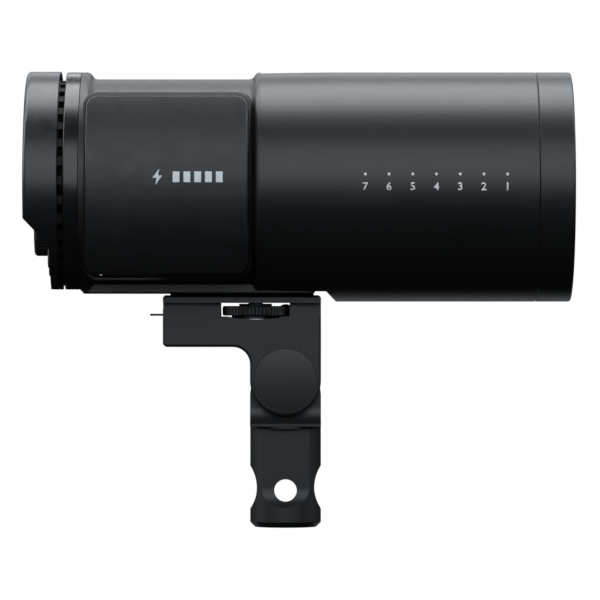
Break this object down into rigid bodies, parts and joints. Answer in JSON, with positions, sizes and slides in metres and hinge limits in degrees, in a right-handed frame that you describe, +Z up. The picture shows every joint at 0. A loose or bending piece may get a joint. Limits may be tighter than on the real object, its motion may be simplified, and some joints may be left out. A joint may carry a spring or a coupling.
{
  "type": "monolight strobe",
  "caption": "Battery-powered studio flash head with a round front collar, side battery, rear display and dial, on a tilting stand bracket with an umbrella channel.",
  "frame": {"origin": "centre of the stand socket's mouth, at the bottom of the bracket", "axes": "+X the way the light shines, along the head's axis; +Z up the stand socket; -Y the battery side"},
  "size_m": [0.2366, 0.108, 0.1985],
  "materials": {
    "anodised_black": "fine satin black anodised aluminium",
    "anodised_gloss": "semi-gloss black anodised trim",
    "forged_black": "bead-blasted black anodised bracket",
    "body_polymer": "fine-grained black glass-filled polymer",
    "soft_black": "matt black rubber",
    "front_glass": "frosted borosilicate",
    "display_glass": "glossy tinted cover glass",
    "reflector": "hammered bright reflector",
    "quartz": "clear quartz tube",
    "ceramic": "off-white technical ceramic",
    "led_phosphor": "yellow phosphor over a chip array",
    "bare_aluminium": "extruded aluminium, unfinished",
    "capacitor_sleeve": "shrink sleeve",
    "circuit_board": "solder mask",
    "cell_sleeve": "cell wrap",
    "contact_gold": "gold-plated contacts",
    "black_plastic": "moulded black plastic",
    "button_grey": "moulded key caps",
    "zinc_steel": "machined steel",
    "black_steel": "black-oxide steel",
    "brass": "turned brass",
    "copper_tape": "taped ferrite transformer"
  },
  "bodies": {
    "stand_socket": {"socket_block": "forged_black"},
    "head": {"front_tube": "anodised_black", "front_ring": "anodised_black", "front_glass": "front_glass", "glass_gasket": "soft_black", "inner_reflector": "reflector", "flash_tube": "quartz", "flash_tube_base": "ceramic", "led_heat_sink": "bare_aluminium", "modelling_led": "led_phosphor", "capacitor_bank": "capacitor_sleeve", "capacitor_board": "circuit_board", "neck_shell": "body_polymer", "contact_block": "black_plastic", "side_cover": "body_polymer", "power_board": "circuit_board", "flash_transformer": "copper_tape", "switch_heat_sink": "bare_aluminium", "base_plate": "forged_black", "base_screws": "black_steel", "thread_insert": "brass", "vent_spacer": "black_plastic", "rear_ring": "anodised_gloss", "rear_cap": "body_polymer", "display_window": "display_glass", "lcd_module": "black_plastic", "control_board": "circuit_board", "dial_encoder": "black_plastic", "sync_jack": "zinc_steel", "usb_port": "zinc_steel", "fan_housing": "black_plastic", "bracket_arm": "forged_black", "mount_plate": "forged_black", "mount_pad": "soft_black", "arm_screws": "black_steel", "friction_washers": "black_plastic", "tilt_bolt": "zinc_steel", "pivot_cap": "anodised_black"},
    "clamp_pad": {"clamp_pad": "brass"},
    "lock_knob": {"lock_knob": "black_plastic"},
    "tilt_lever": {"tilt_lever": "forged_black"},
    "clamp_wheel": {"clamp_wheel": "anodised_black", "mount_screw": "zinc_steel"},
    "umbrella_catch": {"umbrella_catch": "black_steel"},
    "release_top": {"release_pads_top": "soft_black"},
    "release_bottom": {"release_pads_bottom": "soft_black"},
    "battery": {"battery_cover": "body_polymer", "battery_tub": "black_plastic", "battery_cells": "cell_sleeve", "battery_contacts": "contact_gold"},
    "dial_shaft": {"dial_shaft": "zinc_steel"},
    "control_dial": {"control_dial": "soft_black"},
    "power_button": {"power_button": "button_grey"},
    "test_button": {"test_button": "button_grey"},
    "model_button": {"model_button": "button_grey"},
    "menu_button": {"menu_button": "button_grey"},
    "fan_rotor": {"fan_rotor": "black_plastic"}
  },
  "joints": [
    {"name": "tilt", "type": "hinge", "parent": "stand_socket", "child": "head", "pos_m": [0, 0, 0.0641], "axis": [0, 1, 0], "range_deg": [-75, 90]},
    {"name": "tilt_lock", "type": "hinge", "parent": "head", "child": "tilt_lever", "pos_m": [0, 0.018, 0.0641], "axis": [0, -1, 0], "range_deg": [0, 110]},
    {"name": "clamp_slide", "type": "slide", "parent": "stand_socket", "child": "clamp_pad", "axis": [0, -1, 0], "range_m": [0, 0.0009]},
    {"name": "lock_turn", "type": "hinge", "parent": "clamp_pad", "child": "lock_knob", "pos_m": [0, 0.018, 0.031], "axis": [0, -1, 0], "range_deg": [0, 250]},
    {"name": "wheel_turn", "type": "hinge", "parent": "head", "child": "clamp_wheel", "pos_m": [-0.0131, 0, 0.094], "axis": [0, 0, 1], "continuous": true},
    {"name": "umbrella_release", "type": "slide", "parent": "head", "child": "umbrella_catch", "axis": [1, 0, 0], "range_m": [0, 0.003], "stiffness_N_per_m": 300},
    {"name": "battery_slide", "type": "slide", "parent": "head", "child": "battery", "axis": [0, -1, 0], "range_m": [0, 0.065]},
    {"name": "release_top_press", "type": "slide", "parent": "head", "child": "release_top", "axis": [0, 0, -1], "range_m": [0, 0.0006], "stiffness_N_per_m": 600},
    {"name": "release_bottom_press", "type": "slide", "parent": "head", "child": "release_bottom", "axis": [0, 0, 1], "range_m": [0, 0.0006], "stiffness_N_per_m": 600},
    {"name": "dial_push", "type": "slide", "parent": "head", "child": "dial_shaft", "axis": [1, 0, 0], "range_m": [0, 0.0004], "stiffness_N_per_m": 1500},
    {"name": "dial_turn", "type": "hinge", "parent": "dial_shaft", "child": "control_dial", "pos_m": [-0.106, 0, 0.1301], "axis": [1, 0, 0], "continuous": true},
    {"name": "fan_spin", "type": "hinge", "parent": "head", "child": "fan_rotor", "pos_m": [-0.094, 0, 0.1587], "axis": [1, 0, 0], "continuous": true},
    {"name": "power_button_press", "type": "slide", "parent": "head", "child": "power_button", "axis": [1, 0, 0], "range_m": [0, 0.0007], "stiffness_N_per_m": 500},
    {"name": "test_button_press", "type": "slide", "parent": "head", "child": "test_button", "axis": [1, 0, 0], "range_m": [0, 0.0007], "stiffness_N_per_m": 500},
    {"name": "model_button_press", "type": "slide", "parent": "head", "child": "model_button", "axis": [1, 0, 0], "range_m": [0, 0.0007], "stiffness_N_per_m": 500},
    {"name": "menu_button_press", "type": "slide", "parent": "head", "child": "menu_button", "axis": [1, 0, 0], "range_m": [0, 0.0007], "stiffness_N_per_m": 500}
  ],
  "couplings": [
    {"joint": "clamp_slide", "follows": "lock_turn", "m_per_rad": 0.00019894}
  ]
}
